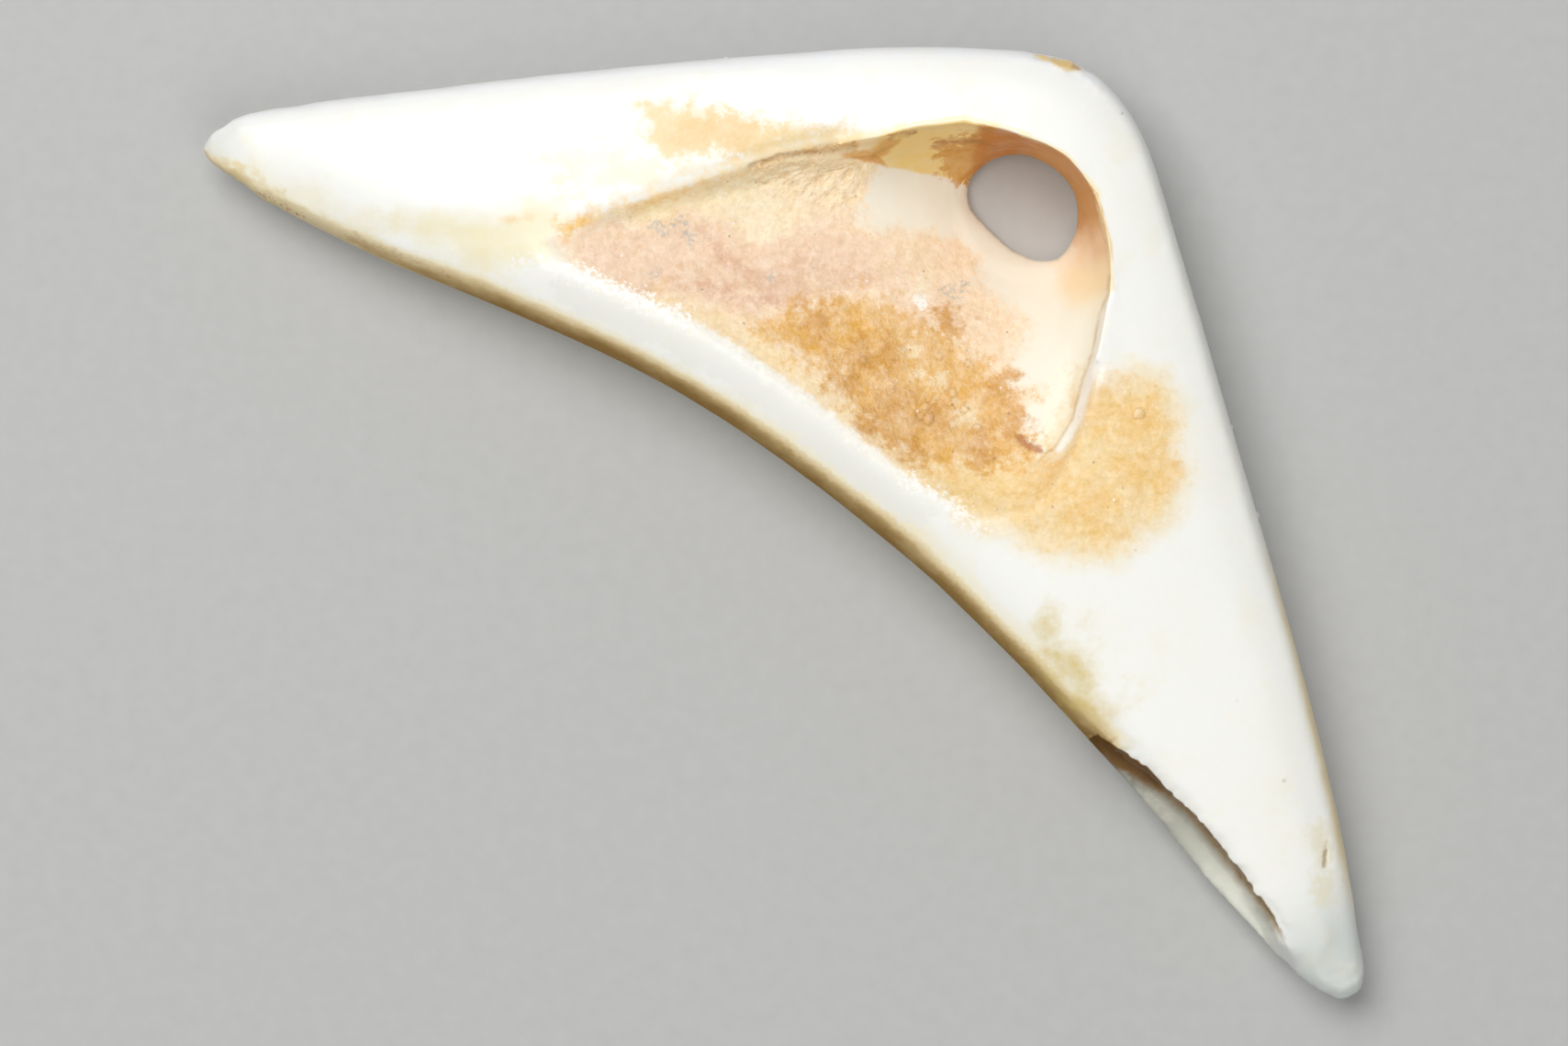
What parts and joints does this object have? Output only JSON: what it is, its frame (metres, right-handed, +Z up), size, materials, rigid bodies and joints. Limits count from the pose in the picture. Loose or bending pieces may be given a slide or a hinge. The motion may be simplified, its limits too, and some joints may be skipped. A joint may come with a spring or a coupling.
{
  "type": "shell effigy pendant",
  "caption": "Polished shell pendant: tapering wings meet at a rounded shoulder, with a natural hollow in the face, a cord hole through its thin web and a ground flat back.",
  "frame": {"origin": "middle of the bounding box on the plane that the ground back rests on", "axes": "+X along the upper wing towards the shoulder, +Y from the lower tip to the upper rim, +Z up out of the face"},
  "size_m": [0.076, 0.062, 0.01],
  "materials": {
    "shell": "polished white shell with a matt tan crust in the hollow"
  },
  "bodies": {
    "root": {"shell_pendant": "shell"}
  },
  "joints": []
}
